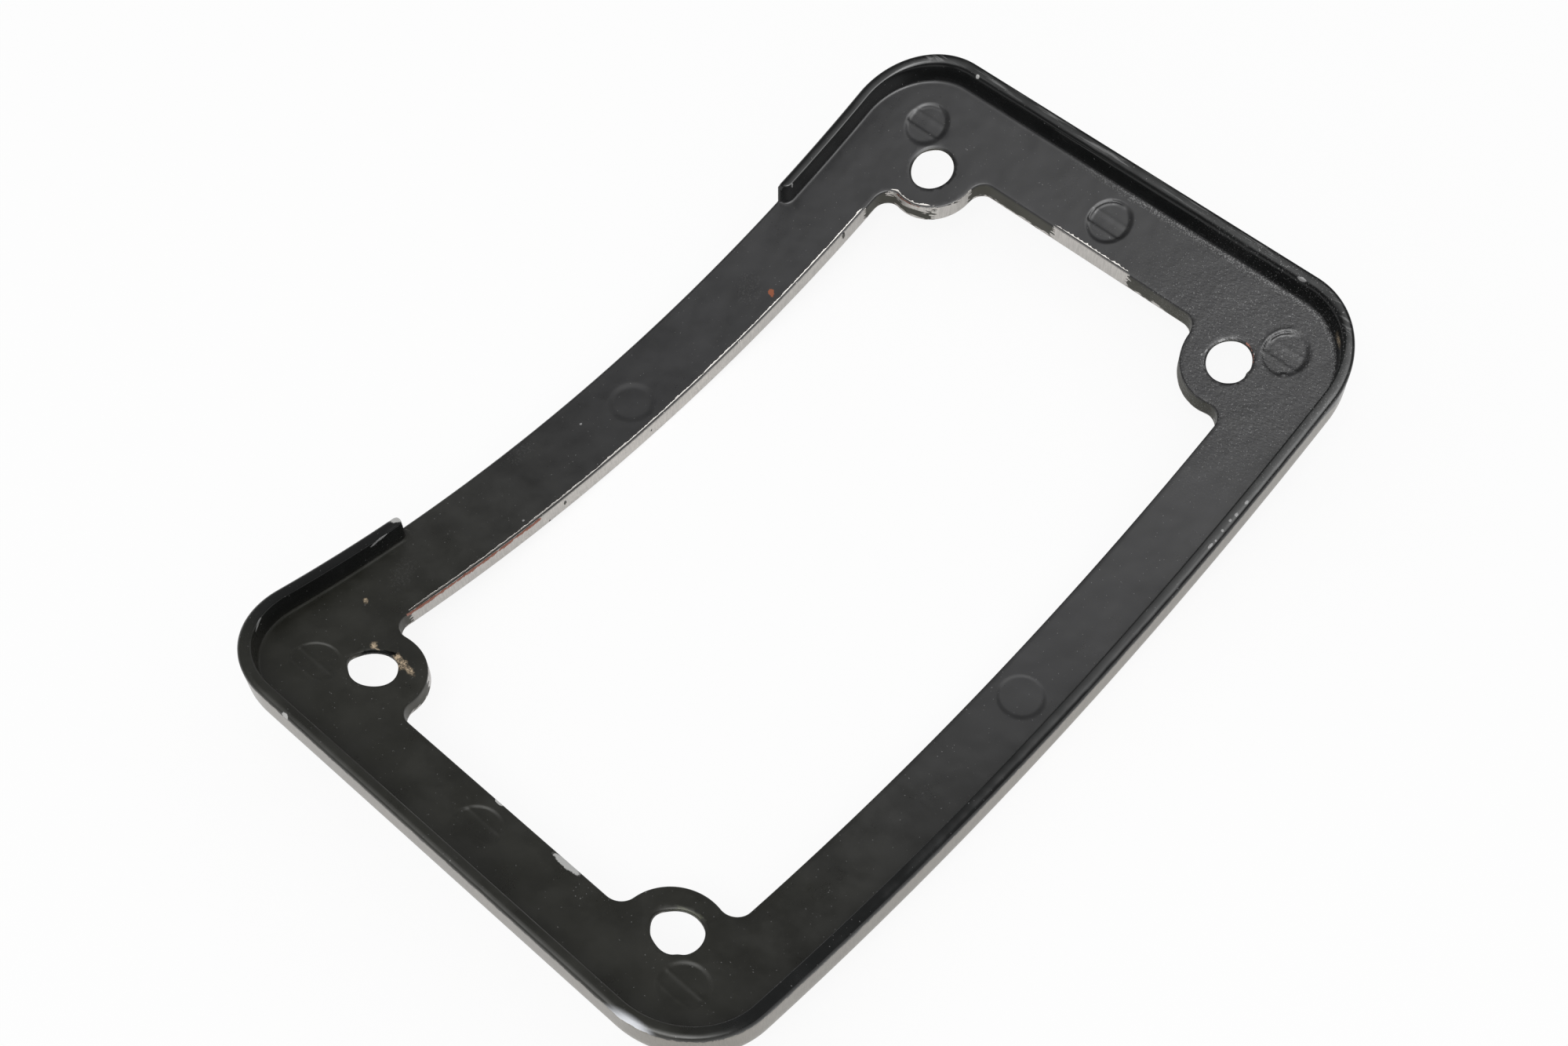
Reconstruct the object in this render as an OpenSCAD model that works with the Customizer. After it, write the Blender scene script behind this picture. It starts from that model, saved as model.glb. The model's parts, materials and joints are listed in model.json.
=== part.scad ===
// Number plate frame for a motorcycle: one casting, bent about its short direction.
// It lies with its polished front down and its painted back, which takes the plate, up.
// X runs along the length, Y across it, and z = 0 is the lowest line of the front.

/* [Holes] */
// Spacing of the holes along the length
hole_pitch_x = 146; // [110:0.5:180]
// Spacing of the holes across the width
hole_pitch_y = 70; // [56:0.5:90]
// Diameter of the holes
hole_d = 8.3; // [5:0.1:10]
// Diameter of the round recess about each hole on the front
recess_d = 12.6; // [11:0.1:13.5]
// Thickness of metal left at each hole
lip_t = 1; // [0.6:0.1:2.5]

/* [Window] */
// Distance of the window's ends beyond the holes' centres
window_past_x = 3.2; // [2:0.05:6]
// Distance of the window's long edges beyond the holes' centres
window_past_y = 5.35; // [4:0.05:7]
// Radius of the lobe that carries each hole
lobe_r = 9.1; // [8:0.1:10]
// Distance of the lobe's centre beyond the hole's, towards the end
lobe_shift = 1; // [0:0.1:1.5]
// Fillets between the lobes and the window's straight edges
window_fillet = 3; // [1:0.1:3.5]

/* [Plate] */
// Width of the plate between the window and each end
end_w = 14.8; // [12.5:0.1:25]
// Width of the plate between the window and each long side
side_w = 15.25; // [12.5:0.05:25]
// Radius of the outer corners, seen from above
corner_r = 16; // [12:0.5:20]
// Bend radius of the back face
bend_r = 237; // [180:1:400]
// Thickness of the plate
plate_t = 3.7; // [3.2:0.1:6]
// Rounding of the outer edge on the front
front_round = 2.2; // [1:0.1:2.7]
// Rounding of the bare back edge where the rim is left out
back_round = 0.4; // [0.2:0.05:0.45]

/* [Rim] */
// Height of the rim above the back face
rim_h = 5; // [3.5:0.1:8]
// Thickness of the rim
rim_t = 2.3; // [2:0.1:3.2]
// Rounding of the rim's two top edges
rim_round = 0.9; // [0.3:0.05:0.95]
// Fillet at the foot of the rim
rim_foot = 0.7; // [0.3:0.05:1.2]
// Distance from the left holes' centres to the opening in the rim of the upper long side
opening_from_left = 23.8; // [18:0.1:45]
// Distance from the right holes' centres to that opening
opening_from_right = 22.2; // [18:0.1:45]
// Length over which each end of the rim rounds up from the plate
rim_end = 1.3; // [0.6:0.1:3]

/* [Ejector marks] */
// Diameter of the round marks
mark_d = 8; // [5:0.1:8.5]
// Depth of the marks below the back face
mark_depth = 0.25; // [0.1:0.05:0.3]
// Width of the groove across a mark that lies on the slope
groove_w = 1.9; // [1:0.1:3]
// Depth of the groove below the mark
groove_depth = 0.12; // [0.05:0.01:0.2]
// Distance of each corner mark beyond its hole, along the length
corner_mark_x = 6.3; // [5.5:0.1:7.5]
// Distance of each corner mark beyond its hole, across the width
corner_mark_y = 7.3; // [6.5:0.1:8.5]

/* [Hidden] */

// Half sizes of the window and of the outline
hole_at = [hole_pitch_x / 2, hole_pitch_y / 2];
win_l = hole_at.x + window_past_x;
win_w = hole_at.y + window_past_y;
half_l = win_l + end_w;
half_w = win_w + side_w;

// The axis of the bend runs along Y at this height
axis_z = bend_r + plate_t;

// Centres of a lobe and its two fillets, in the quarter where x and y are positive
lobe_at = hole_at + [lobe_shift, 0];
fillet_reach = lobe_r + window_fillet;
long_drop = win_w - window_fillet - lobe_at.y;
end_drop = win_l - window_fillet - lobe_at.x;
long_fillet_at = [lobe_at.x - sqrt(fillet_reach ^ 2 - long_drop ^ 2), win_w - window_fillet];
end_fillet_at = [win_l - window_fillet, lobe_at.y - sqrt(fillet_reach ^ 2 - end_drop ^ 2)];

// Directions from the fillets' centres to the lobe's
long_turn = atan2(lobe_at.y - long_fillet_at.y, lobe_at.x - long_fillet_at.x);
end_turn = atan2(lobe_at.y - end_fillet_at.y, lobe_at.x - end_fillet_at.x);

// Steps round a fillet, round a lobe, along a long side and along an end
fillet_steps = 4;
lobe_steps = 9;
long_steps = 16;
end_steps = 4;

// Shares of the way across the plate at which the faces have a row of points
across = [0, 0.25, 0.5, 0.75];

// How the rim rises at its ends: share of the end's length, share of the full section
rise = [[0, 0], [0.08, 0.7], [0.35, 0.9], [1, 1]];

function mix(a, b, share) = a + (b - a) * share;
function heading(angle) = [cos(angle), sin(angle)];
function arc(centre, radius, from, to, steps) =
    [for (i = [0:steps]) centre + radius * heading(mix(from, to, i / steps))];
function inner(list) = [for (i = [1:len(list) - 2]) list[i]];
function turned(list) = [for (i = [len(list) - 1:-1:0]) list[i]];

// A point of the flat pattern at height z over the back face, put in its bent place
function bent(at, z) = [at.x, at.y, axis_z - sqrt((bend_r - z) ^ 2 - at.x ^ 2)];

// Section of the outer edge as [distance in from the outer face, height over the back face]
foot_section = [for (a = [0, 45, 90])
    [rim_t + rim_foot * (1 - sin(a)), rim_foot * (1 - cos(a))]];
top_section = concat(
    arc([rim_t - rim_round, rim_h - rim_round], rim_round, 0, 90, 2),
    arc([rim_round, rim_h - rim_round], rim_round, 90, 180, 2));
rim_section = concat(foot_section, top_section);
bare_flat = len(rim_section) - 3;
bare_section = concat(
    [for (i = [0:bare_flat - 1]) [mix(rim_t + rim_foot, back_round, i / bare_flat), 0]],
    arc([back_round, -back_round], back_round, 90, 180, 2));
front_section = arc([front_round, front_round - plate_t], front_round, 180, 270, 4);

// A station is [outer point, direction inwards, window point, share of the rim's section].
// The quarter's stations run from the long side round the corner to the end.
corner_at = [half_l - corner_r, half_w - corner_r];
quarter_window = concat(
    arc(long_fillet_at, window_fillet, 90, long_turn, fillet_steps),
    inner(arc(lobe_at, lobe_r, 180 + long_turn, 180 + end_turn, lobe_steps)),
    arc(end_fillet_at, window_fillet, end_turn, 0, fillet_steps));
quarter_outer = concat(
    [for (i = [0:fillet_steps]) [mix(long_fillet_at.x, corner_at.x, i / fillet_steps), half_w]],
    inner(arc(corner_at, corner_r, 90, 0, lobe_steps)),
    [for (i = [0:fillet_steps]) [half_l, mix(corner_at.y, end_fillet_at.y, i / fillet_steps)]]);
quarter_inwards = concat(
    [for (i = [0:fillet_steps]) [0, -1]],
    inner(arc([0, 0], -1, 90, 0, lobe_steps)),
    [for (i = [0:fillet_steps]) [-1, 0]]);

function quarter(side) = [for (i = [0:len(quarter_outer) - 1]) [
    [side.x * quarter_outer[i].x, side.y * quarter_outer[i].y],
    [side.x * quarter_inwards[i].x, side.y * quarter_inwards[i].y],
    [side.x * quarter_window[i].x, side.y * quarter_window[i].y], 1]];
function long_station(x, side, share) = [[x, side * half_w], [0, -side], [x, side * win_w], share];
function end_station(y, side) = [[side * half_l, y], [-side, 0], [side * win_l, y], 1];

// Ends of the opening in the rim, and the stations of the side that has it, from +X to -X
gap_right = hole_at.x - opening_from_right;
gap_left = opening_from_left - hole_at.x;
gap_steps = 12;
rim_steps = 2;
open_side = concat(
    [for (i = [1:rim_steps - 1]) [mix(long_fillet_at.x, gap_right + rim_end, i / rim_steps), 1]],
    [for (r = turned(rise)) [gap_right + r[0] * rim_end, r[1]]],
    [for (i = [1:gap_steps - 1]) [mix(gap_right, gap_left, i / gap_steps), 0]],
    [for (r = rise) [gap_left - r[0] * rim_end, r[1]]],
    [for (i = [1:rim_steps - 1]) [mix(gap_left - rim_end, -long_fillet_at.x, i / rim_steps), 1]]);

stations = concat(
    [for (i = [1:long_steps - 1])
        long_station(mix(-long_fillet_at.x, long_fillet_at.x, i / long_steps), -1, 1)],
    quarter([1, -1]),
    [for (i = [1:end_steps - 1])
        end_station(mix(-end_fillet_at.y, end_fillet_at.y, i / end_steps), 1)],
    turned(quarter([1, 1])),
    [for (s = open_side) long_station(s[0], 1, s[1])],
    quarter([-1, 1]),
    [for (i = [1:end_steps - 1])
        end_station(mix(end_fillet_at.y, -end_fillet_at.y, i / end_steps), -1)],
    turned(quarter([-1, -1])));

// All the points of one station, from the window's back edge round the outside to its front edge
function section(s) =
    let (foot = s[0] + s[1] * (rim_t + rim_foot), toe = s[0] + s[1] * front_round)
    concat(
        [for (share = across) bent(mix(s[2], foot, share), 0)],
        [for (i = [0:len(rim_section) - 1])
            let (p = mix(bare_section[i], rim_section[i], s[3])) bent(s[0] + s[1] * p[0], p[1])],
        [for (p = front_section) bent(s[0] + s[1] * p[0], p[1])],
        [for (share = turned(across)) bent(mix(s[2], toe, share), -plate_t)]);

// The frame's body as one closed skin through the sections of all stations
module body() {
    rings = [for (s = stations) section(s)];
    n = len(rings);
    m = len(rings[0]);
    faces = [for (i = [0:n - 1], j = [0:m - 1])
        let (a = i * m, b = ((i + 1) % n) * m, k = (j + 1) % m)
        each [[a + j, b + j, b + k], [a + j, b + k, a + k]]];
    polyhedron([for (r = rings) each r], faces, convexity = 8);
}

// Everything on the hollow side of a cylinder about the bend's axis
module inside_of(radius) {
    translate([0, 0, axis_z]) rotate([90, 0, 0])
        cylinder(r = radius, h = 4 * half_w, center = true, $fn = 360);
}

module at_all_holes() {
    for (sx = [-1, 1], sy = [-1, 1])
        translate([sx * hole_at.x, sy * hole_at.y, 0]) children();
}

// Holes through the lobes, parallel to each other
module holes() {
    at_all_holes() cylinder(d = hole_d, h = axis_z, $fn = 96);
}

// Recesses on the front that leave lip_t of metal about each hole
module recesses() {
    difference() {
        at_all_holes() cylinder(d = recess_d, h = axis_z, $fn = 96);
        inside_of(bend_r + lip_t);
    }
}

// Cuts an upright shape down to a pocket of this depth in the back face
module sunk(depth) {
    intersection() {
        children();
        inside_of(bend_r + depth);
    }
}

module mark_disc(at) {
    translate([at.x, at.y, 0]) cylinder(d = mark_d, h = axis_z, $fn = 64);
}

// One round mark
module mark(at) {
    sunk(mark_depth) mark_disc(at);
}

// A mark on the slope has a groove across it, parallel to Y
module grooved_mark(at) {
    mark(at);
    sunk(mark_depth + groove_depth) intersection() {
        mark_disc(at);
        translate([at.x - groove_w / 2, at.y - mark_d, 0]) cube([groove_w, 2 * mark_d, axis_z]);
    }
}

// Marks beyond the holes, and halfway between the window and the rim on all four sides
module marks() {
    end_mark = (win_l + half_l - rim_t - rim_foot) / 2;
    side_mark = (win_w + half_w - rim_t - rim_foot) / 2;
    corner_mark = hole_at + [corner_mark_x, corner_mark_y];
    for (sx = [-1, 1], sy = [-1, 1]) grooved_mark([sx * corner_mark.x, sy * corner_mark.y]);
    for (sx = [-1, 1]) grooved_mark([sx * end_mark, 0]);
    for (sy = [-1, 1]) mark([0, sy * side_mark]);
}

module plate_frame() {
    color("dimgray") difference() {
        body();
        holes();
        recesses();
        marks();
    }
}

plate_frame();
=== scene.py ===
"""The number plate frame as it looks: a worn, bent casting with black paint over bright plating."""

import json
import math

import bpy
import numpy as np
from bpy.props import FloatProperty, FloatVectorProperty, PointerProperty
from bpy.types import Operator, Panel, PropertyGroup
from mathutils.geometry import delaunay_2d_cdt
from mathutils.kdtree import KDTree
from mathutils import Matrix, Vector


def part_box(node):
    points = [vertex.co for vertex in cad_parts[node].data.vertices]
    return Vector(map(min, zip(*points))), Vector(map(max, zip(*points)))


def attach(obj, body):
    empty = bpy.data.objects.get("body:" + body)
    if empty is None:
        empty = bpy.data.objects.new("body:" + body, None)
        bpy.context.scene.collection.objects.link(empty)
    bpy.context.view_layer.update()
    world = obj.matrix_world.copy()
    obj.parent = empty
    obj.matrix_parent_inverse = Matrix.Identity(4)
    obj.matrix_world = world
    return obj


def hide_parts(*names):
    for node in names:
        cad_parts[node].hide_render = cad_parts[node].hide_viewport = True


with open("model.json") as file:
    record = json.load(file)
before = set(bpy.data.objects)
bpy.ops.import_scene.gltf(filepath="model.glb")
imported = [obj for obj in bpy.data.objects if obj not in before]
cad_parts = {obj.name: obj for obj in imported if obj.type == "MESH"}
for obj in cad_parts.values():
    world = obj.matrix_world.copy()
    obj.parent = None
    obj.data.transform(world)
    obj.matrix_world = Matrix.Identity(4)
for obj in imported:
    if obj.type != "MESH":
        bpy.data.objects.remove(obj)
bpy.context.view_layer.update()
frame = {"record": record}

bl_info = {
    "name": "Number Plate Frame",
    "version": (1, 0, 0),
    "blender": (4, 5, 0),
    "location": "View3D > Sidebar > Plate Frame",
    "description": "Builds a worn cast number plate frame and a small studio round it",
    "category": "Object",
}

MM = 0.001
NODE = "plate_frame"
LOW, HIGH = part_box(NODE)
BOLTS = frame["record"]["mounts"][0]["dims"]
# The hole on the side of +x and +y
HOLE_PLACE = np.array([BOLTS["spacing_x_mm"], BOLTS["spacing_y_mm"]]) * MM / 2


# Properties

def size(name, description, millimetres):
    """A length, given here in millimetres and kept in metres."""
    return FloatProperty(name=name, description=description, default=millimetres * MM, min=0.0,
                         precision=5, unit="LENGTH")


def share(name, description, default):
    """A number from 0 to 1."""
    return FloatProperty(name=name, description=description, default=default, min=0.0, max=1.0,
                         subtype="FACTOR")


def colour(name, description, default):
    """A colour, given as linear red, green and blue."""
    return FloatVectorProperty(name=name, description=description, default=default, size=3,
                               min=0.0, max=1.0, subtype="COLOR")


def angle(name, description, degrees):
    """An angle, given here in degrees and kept in radians."""
    return FloatProperty(name=name, description=description, default=math.radians(degrees),
                         subtype="ANGLE")


class PlateShape(PropertyGroup):
    """Sizes of the plate, its window and its holes, before it is bent."""

    length: size("Length", "Between the outer faces of the two ends", (HIGH[0] - LOW[0]) / MM)
    width: size("Width", "Between the outer faces of the two long sides", (HIGH[1] - LOW[1]) / MM)
    corner: size("Corner radius", "Radius of the outer corners", 16.0)
    thickness: size("Thickness", "From the painted back to the polished front", 3.7)
    bend: size("Bend radius", "Radius of the painted back", 237.0)
    front_round: size("Front rounding", "Rounding of the outer edge on the front", 2.2)
    back_round: size("Back rounding", "Rounding of the bare back edge in the rim's opening", 0.4)
    window_past_x: size("Window past holes, lengthwise", "From the holes to the window's end", 3.2)
    window_past_y: size("Window past holes, across", "From the holes to its long edge", 5.35)
    lobe: size("Lobe radius", "Radius of the metal round each hole", 9.1)
    lobe_shift: size("Lobe shift", "From the hole's centre to the lobe's, towards the end", 1.0)
    fillet: size("Window fillet", "Fillets beside the lobes", 3.0)
    edge_round: size("Edge rounding", "Rounding of the window's painted edge", 0.3)
    window_front_round: size("Front edge rounding", "Rounding of its polished edge", 0.5)
    recess: size("Recess diameter", "Round recess about each hole on the front", 12.6)


class RimShape(PropertyGroup):
    """Sizes of the rim that runs round the painted back."""

    left_height: size("Height at the left", "Height of the rim at the left end", 4.93)
    right_height: size("Height at the right", "Height of the rim at the right end", 4.66)
    thickness: size("Thickness", "Thickness of the rim", 2.3)
    top_round: size("Top rounding", "Rounding of the rim's outer top edge", 1.0)
    inner_round: size("Inner rounding", "Rounding of the rim's inner top edge", 0.35)
    end_inner_round: size("Inner rounding, right", "The same along the right end", 1.1)
    foot: size("Foot fillet", "Fillet between the rim and the plate", 0.45)
    opening_left: size("Opening to the left", "From the middle to the opening's left end", 49.2)
    opening_right: size("Opening to the right", "From the middle to its right end", 51.1)
    end_round: size("End rounding", "Rounding of the rim's ends, seen from above", 1.7)
    left_top_round: size("Left end's top", "Rounding of the top of the rim's left end", 1.1)
    right_top_round: size("Right end's top", "Rounding of the top of its right end", 0.8)


class MarkShape(PropertyGroup):
    """Sizes and places of the eight round ejector marks."""

    diameter: size("Diameter", "Diameter of a mark", 8.0)
    depth: size("Depth", "Depth of a mark below the back", 0.32)
    edge: size("Edge", "Width of the slope at a mark's edge", 1.1)
    groove_width: size("Groove width", "Width of the groove across a mark on the slope", 1.9)
    groove_depth: size("Groove depth", "Depth of that groove below its mark", 0.15)
    groove_edge: size("Groove edge", "Width of the slope at the groove's sides", 0.9)
    ridge: size("Ridge", "Height of the ridges beside the groove", 0.08)
    corner_x: size("Corner mark, lengthwise", "From the hole to the mark beyond it", 6.3)
    corner_y: size("Corner mark, across", "From the hole to the mark beyond it", 7.3)
    end_x: size("End mark", "From the middle to the mark at each end", 82.1)
    side_y: size("Side mark", "From the middle to the mark on each long side", 46.6)


class MeshDetail(PropertyGroup):
    """How finely the casting is meshed."""

    edge_step: size("Edge step", "Step along the rim and the window", 0.7)
    face_step: size("Back step", "Spacing of points on the painted back", 0.62)
    mark_step: size("Mark step", "Spacing of points on the marks", 0.32)
    ring_step: size("Ring step", "Spacing of the rings of points at a mark's edge", 0.14)
    front_step: size("Front step", "Spacing of points on the polished front", 1.8)


class Finish(PropertyGroup):
    """Colours and gloss of the paint, the plating and what has settled on them, and of painted
    highlights, glints, reflection and shade.
    """

    paint: colour("Paint", "Black paint on the back", (0.0135, 0.0135, 0.0142))
    # Painted light tint: the paint turns yellower towards the left end, as the light on it does
    paint_left_light_tint: colour("Paint, left", "Stained paint at the left end", (0.0135, 0.0135, 0.0105))
    paint_rim: colour("Rim paint", "Black paint on the rim", (0.006, 0.0065, 0.0065))
    paint_wall: colour("Wall paint", "Dirty paint on the walls of window and holes",
                       (0.030, 0.029, 0.020))
    chrome: colour("Plating", "Dull bright plating", (0.55, 0.53, 0.505))
    # Darker plating on the outer walls
    darker_outer_plating: colour("Weathered plating", "Plating on the outer walls", (0.26, 0.24, 0.21))
    chip: colour("Chip", "Bare metal in a chip", (0.42, 0.42, 0.41))
    copper: colour("Copper", "Copper coat where the plating has gone", (0.27, 0.115, 0.085))
    rust: colour("Rust", "Rust-brown spot", (0.23, 0.065, 0.025))
    clay: colour("Clay", "Dried clay beside the left hole", (0.30, 0.235, 0.16))
    olive: colour("Olive", "Dust on a hole's wall", (0.055, 0.057, 0.04))
    # Also the grey of painted glints and highlights on the paint
    scuff_and_glint: colour("Scuff", "Paint rubbed grey", (0.22, 0.22, 0.22))
    # Painted reflection: a soft light colour that stands in for the plating's reflection at the
    # rim's near corner
    painted_reflection: colour("Sheen", "Plating that shows softly at the rim's corner", (0.72, 0.74, 0.78))
    face_roughness: share("Back roughness", "Roughness of the paint on the back", 0.38)
    rim_roughness: share("Rim roughness", "Roughness of the paint on the rim", 0.17)
    chrome_roughness: share("Plating roughness", "Roughness of the plating", 0.2)


class StageLook(PropertyGroup):
    """The floor, the light and the camera."""

    floor: colour("Floor", "Colour of the floor", (0.86, 0.86, 0.86))
    glow: share("Floor glow", "Share of plain white in the floor that the camera sees", 0.88)
    sky: share("Sky", "Level of the light from all round", 0.85)
    sky_low: share("Low reflections", "Level that reflections show beside the soft box", 0.26)
    sky_high: FloatProperty(name="High reflections", default=8.9, min=0.0,
                            description="Level that reflections show in the soft box's near corner")
    lamp_turn: angle("Lamp direction", "Direction of the lamp, from +X", 204.0)
    lamp_rise: angle("Lamp height", "Angle of the lamp over the floor", 60.0)
    lamp_side: size("Lamp size", "Side of the square lamp", 350.0)
    lamp_power: FloatProperty(name="Lamp", description="Power of the lamp above the camera",
                              default=2.0, min=0.0, unit="POWER")


# The casting laid flat

def mix(start, end, part):
    """The value that lies the given part of the way from start to end."""
    return start + (end - start) * part


def steps_for(distance, step):
    """How many steps cover a distance."""
    return max(1, round(float(distance) / step))


def arc(centre, radius, start, end, steps):
    """Points of an arc, with its angles in degrees."""
    angles = np.radians(np.linspace(start, end, steps + 1))
    return np.array(centre) + radius * np.column_stack([np.cos(angles), np.sin(angles)])


def turned_from(middle, angles):
    """How far angles lie from a middle one, all in degrees."""
    return (angles - middle + 180.0) % 360.0 - 180.0


def smooth(edge_low, edge_high, value):
    """0 below the low edge, 1 above the high edge, and a smooth slope between them."""
    part = np.clip((value - edge_low) / (edge_high - edge_low), 0.0, 1.0)
    return part * part * (3.0 - 2.0 * part)


class Skin:
    """Points and faces of the casting laid flat, with the part that each point belongs to."""

    def __init__(self):
        self.points = []
        self.parts = []
        self.faces = []
        self.count = 0

    def add(self, points, part):
        """Adds points of one part of the casting, and returns their numbers."""
        numbers = np.arange(self.count, self.count + points[..., 0].size)
        self.points.append(points.reshape(-1, 3))
        self.parts += [part] * numbers.size
        self.count += numbers.size
        return numbers.reshape(points.shape[:-1])

    def sweep(self, sections, outwards):
        """Joins each section of a closed run to the next one with quads."""
        after = np.roll(sections, -1, axis=0)
        corners = [sections[:, :-1], sections[:, 1:], after[:, 1:], after[:, :-1]]
        quads = np.stack(corners, axis=-1).reshape(-1, 4)
        self.faces += (quads if outwards else quads[:, ::-1]).tolist()

    def fill(self, loops, inner, height, part, upwards):
        """Fills the space between the first loop and the others, with points inside it."""
        ring = np.concatenate(loops)
        numbers = np.concatenate([ring, self.add(lifted(inner, height), part)])
        flat = bowed(np.concatenate(self.points)[numbers][:, :2] / MM)
        edges = []
        outlines = []
        start = 0
        for loop in loops:
            edges += [(start + i, start + (i + 1) % len(loop)) for i in range(len(loop))]
            outlines.append(flat[start:start + len(loop)])
            start += len(loop)
        found = delaunay_2d_cdt(flat.tolist(), edges, [], 0, 1e-7)
        faces = np.array([origin[0] for origin in found[3]])[np.array(found[2])]
        faces = numbers[faces[between(flat[faces].mean(axis=1), outlines)]]
        self.faces += (faces if upwards else faces[:, ::-1]).tolist()


def bowed(flat):
    """Flat points in millimetres, with straight sides bowed outwards by a hair.

    No three points of a side then lie on one line, which the triangulation needs.
    """
    return flat * (1.0 - 3e-5 * flat[:, ::-1] ** 2)


def lifted(flat, height):
    """Flat points as points in space at one height."""
    return np.column_stack([flat, np.full(len(flat), height)])


def inside(points, outline):
    """Which points lie inside a closed outline."""
    x, y = points[:, 0, None], points[:, 1, None]
    x0, y0 = outline[:, 0], outline[:, 1]
    x1, y1 = np.roll(x0, -1), np.roll(y0, -1)
    rise = np.where(y1 == y0, 1.0, y1 - y0)
    crosses = ((y0 > y) != (y1 > y)) & (x < x0 + (y - y0) * (x1 - x0) / rise)
    return crosses.sum(axis=1) % 2 == 1


def between(points, outlines):
    """Which points lie inside the first outline and outside all the others."""
    keep = inside(points, outlines[0])
    for outline in outlines[1:]:
        keep[keep] = ~inside(points[keep], outline)
    return keep


def even_pattern(centre, half_x, half_y, spacing):
    """A triangular pattern of points over a rectangle."""
    columns = np.arange(-half_x, half_x, spacing)
    rows = np.arange(-half_y, half_y, spacing * math.sqrt(0.75))
    x, y = np.meshgrid(columns, rows)
    x = x + 0.5 * spacing * (np.arange(len(rows)) % 2)[:, None]
    return np.column_stack([x.ravel() + centre[0], y.ravel() + centre[1]])


def ring_pattern(centre, reach, spacing, along):
    """Rings of points about a centre, from the smaller to the larger of two radii."""
    rings = []
    for radius in np.arange(reach[0], reach[1], spacing):
        steps = steps_for(2.0 * math.pi * radius, along)
        rings.append(arc(centre, radius, 0.0, 360.0, steps)[:-1])
    return np.concatenate(rings)


def clear_of(edge, points, gap):
    """Which points keep the gap to every point of an edge."""
    tree = KDTree(len(edge))
    for number, point in enumerate(edge):
        tree.insert((point[0], point[1], 0.0), number)
    tree.balance()
    return np.array([tree.find((p[0], p[1], 0.0))[2] for p in points]) > gap


def scattered(outlines, step):
    """An even pattern of points between outlines, clear of their edges."""
    reach = np.abs(outlines[0]).max(axis=0)
    points = even_pattern((0.0, 0.0), reach[0], reach[1], step)
    points = points[between(points, outlines)]
    edge = np.concatenate(outlines + [(o + np.roll(o, -1, axis=0)) / 2 for o in outlines])
    return points[clear_of(edge, points, 0.55 * step)]


def back_points(outlines, marks, detail):
    """Points on the back, closer together on the marks and closest at their edges."""
    points = scattered(outlines, detail.face_step)
    edge = np.concatenate(outlines)
    # The fine rings reach from well inside a mark's slope to just beyond it
    inner, outer = marks.diameter / 2 - 1.2 * MM, marks.diameter / 2 + 0.9 * MM
    parts = []
    for signs in MARKS:
        place = mark_place(marks, signs)
        points = points[np.hypot(*(points - place).T) > outer + 0.4 * detail.face_step]
        disc = even_pattern(place, inner, inner, detail.mark_step)
        parts.append(disc[np.hypot(*(disc - place).T) < inner - 0.6 * detail.ring_step])
        rings = ring_pattern(place, (inner, outer), detail.ring_step, detail.mark_step)
        parts.append(rings[clear_of(edge, rings, 0.8 * detail.ring_step)])
    return np.concatenate([points, *parts])


def straight(start, end, steps):
    """Points from start up to, but without, end."""
    parts = np.arange(steps)[:, None] / steps
    return np.array(start) + (np.array(end) - np.array(start)) * parts


# Between which places along the length the rim's inner rounding grows to that of the right end
RIGHT_END = (79 * MM, 90 * MM)
# Height of the rim's section where the rim is left out
LOW_HEIGHT = 0.04 * MM
# Length over which the back evens out beyond the rim's ends
EVEN_OUT = 0.8 * MM
# Width of the flat strip that is meshed with the rim beyond its foot
FOOT_STRIP = 0.25 * MM
# Steps past the end of the rim, in millimetres, at which its section is drawn
END_STEPS = (-1.3, -0.85, -0.65, -0.45, -0.25, -0.1, 0.0, 0.12, 0.24, 0.4, 0.6, 0.8, 1.0,
             1.25, 1.5, 1.75, 2.2, 2.8)


def opening_stations(rim, reach, step):
    """Places along the side with the rim's opening, from right to left, close at its ends."""
    right, left = rim.opening_right, -rim.opening_left
    ends = np.array(END_STEPS) * MM
    runs = [
        np.linspace(reach, right + ends[-1], steps_for(reach - right, step), endpoint=False),
        right + ends[::-1],
        np.linspace(right + ends[0], left - ends[0], steps_for(right - left, step))[1:-1],
        left - ends,
        np.linspace(left - ends[-1], -reach, steps_for(reach + left, step), endpoint=False)[1:],
    ]
    return np.concatenate(runs)


def outer_stations(plate, rim, step):
    """Points round the outer edge, anticlockwise from the right end, and directions inwards."""
    half_x, half_y, radius = plate.length / 2, plate.width / 2, plate.corner
    flat_x, flat_y = half_x - radius, half_y - radius
    corner_steps = steps_for(radius * math.pi / 2, 0.65 * step)
    end_steps, side_steps = steps_for(2 * flat_y, step), steps_for(2 * flat_x, step)
    top = opening_stations(rim, flat_x, step)
    # Each side and its direction inwards, and the signs and first angle of the corner after it
    sides = (
        (straight((half_x, -flat_y), (half_x, flat_y), end_steps), (-1.0, 0.0), (1, 1), 0.0),
        (np.column_stack([top, np.full(len(top), half_y)]), (0.0, -1.0), (-1, 1), 90.0),
        (straight((-half_x, flat_y), (-half_x, -flat_y), end_steps), (1.0, 0.0), (-1, -1), 180.0),
        (straight((-flat_x, -half_y), (flat_x, -half_y), side_steps), (0.0, 1.0), (1, -1), 270.0),
    )
    points, inwards = [], []
    for side, inward, signs, start in sides:
        centre = np.array(signs) * (flat_x, flat_y)
        corner = arc(centre, radius, start, start + 90.0, corner_steps)[:-1]
        points += [side, corner]
        inwards += [np.broadcast_to(inward, side.shape), (centre - corner) / radius]
    return np.concatenate(points), np.concatenate(inwards)


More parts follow.
